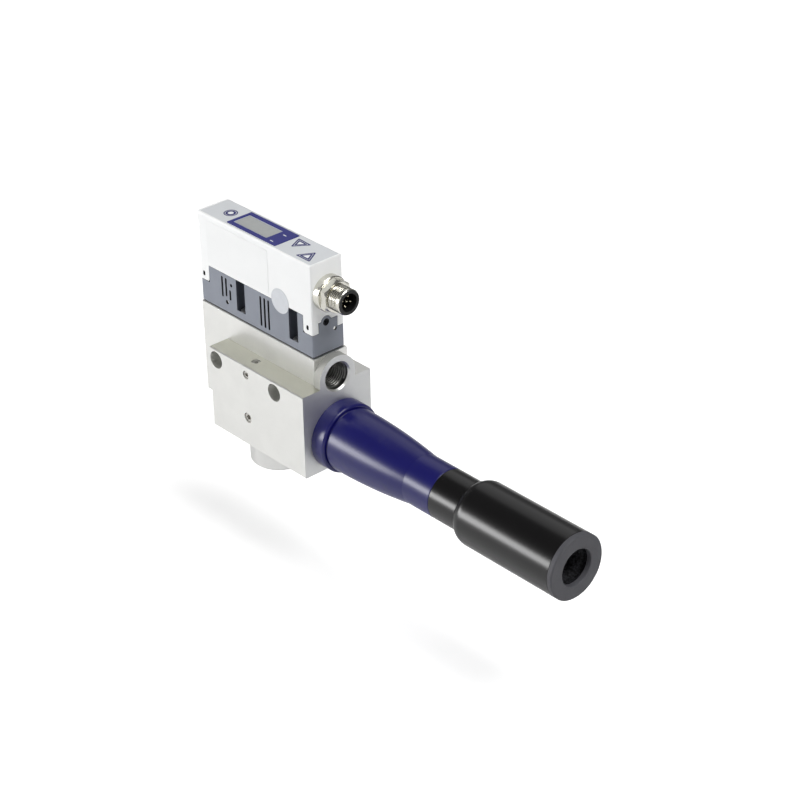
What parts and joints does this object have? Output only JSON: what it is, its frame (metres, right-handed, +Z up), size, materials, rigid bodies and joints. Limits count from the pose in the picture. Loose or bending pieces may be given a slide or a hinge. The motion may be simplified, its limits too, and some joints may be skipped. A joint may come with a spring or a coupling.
{
  "type": "vacuum ejector",
  "caption": "Compact vacuum ejector: aluminium body with threaded air and vacuum ports, valve head with display and plug connector, turned nozzle housing and open silencer.",
  "frame": {"origin": "midway between the two mounting holes, on the back face of the block", "axes": "+X along the nozzle towards the silencer's outlet, +Y out of the back (mounting) face, +Z up towards the operating panel"},
  "size_m": [0.229, 0.0393, 0.1146],
  "materials": {
    "body_aluminium": "bead blasted, natural",
    "socket_aluminium": "fine turned, natural",
    "wire_screen": "etched stainless sheet",
    "guide_steel": "plain stainless",
    "poppet_rubber": "moulded",
    "spring_steel": "bright drawn wire",
    "jet_brass": "turned",
    "receiver_aluminium": "turned and reamed",
    "blue_anodised": "gloss blue anodised",
    "oring_rubber": "moulded",
    "black_anodised": "satin black anodised",
    "sintered_plastic": "porous sintered polyethylene",
    "cap_plastic": "matte moulded",
    "piston_plastic": "moulded acetal",
    "gasket_rubber": "die cut sheet",
    "base_plastic": "fine textured grey moulding",
    "cover_plastic": "white moulding",
    "foil_polyester": "silver grey foil",
    "frame_blue": "blue moulding",
    "lcd_panel": "grey reflective liquid crystal panel",
    "dome_steel": "pressed spring steel",
    "board_laminate": "green solder mask",
    "coil_plastic": "black moulding",
    "sensor_plastic": "black moulding",
    "nickel_plated": "nickel plated brass",
    "insert_plastic": "black moulding",
    "contact_gold": "gold plated",
    "screw_steel": "zinc plated",
    "dark_screw": "black oxide",
    "plug_steel": "plain",
    "pin_steel": "polished",
    "label_film": "blank white film",
    "seal_film": "plain silver film"
  },
  "bodies": {
    "body": {"body_block": "body_aluminium", "vacuum_socket": "socket_aluminium", "port_screen": "wire_screen", "check_guide": "guide_steel", "check_spring": "spring_steel", "jet_nozzle": "jet_brass", "receiver_nozzle": "receiver_aluminium", "nozzle_housing": "blue_anodised", "housing_oring": "oring_rubber", "silencer_body": "black_anodised", "silencer_foam": "sintered_plastic", "silencer_cap": "cap_plastic", "valve_spring": "spring_steel", "base_gasket": "gasket_rubber", "valve_base": "base_plastic", "head_cover": "cover_plastic", "display_foil": "foil_polyester", "display_frame": "frame_blue", "lcd_module": "lcd_panel", "key_domes": "dome_steel", "circuit_board": "board_laminate", "pilot_valves": "coil_plastic", "pressure_sensor": "sensor_plastic", "connector_shell": "nickel_plated", "connector_nut": "nickel_plated", "connector_insert": "insert_plastic", "connector_pins": "contact_gold", "head_screws": "screw_steel", "cover_screw": "dark_screw", "channel_plugs": "plug_steel", "base_pins": "pin_steel", "type_label": "label_film", "seal_label": "seal_film"},
    "piston": {"valve_piston": "piston_plastic", "piston_oring": "oring_rubber"},
    "poppet": {"check_poppet": "poppet_rubber"}
  },
  "joints": [
    {"name": "valve_lift", "type": "slide", "parent": "body", "child": "piston", "axis": [0, 0, 1], "range_m": [0, 0.0025], "stiffness_N_per_m": 300, "springref_m": -0.003, "deforming": ["valve_spring"]},
    {"name": "check_lift", "type": "slide", "parent": "body", "child": "poppet", "axis": [0, 0, 1], "range_m": [0, 0.002], "stiffness_N_per_m": 40, "springref_m": -0.002, "deforming": ["check_spring"]}
  ]
}
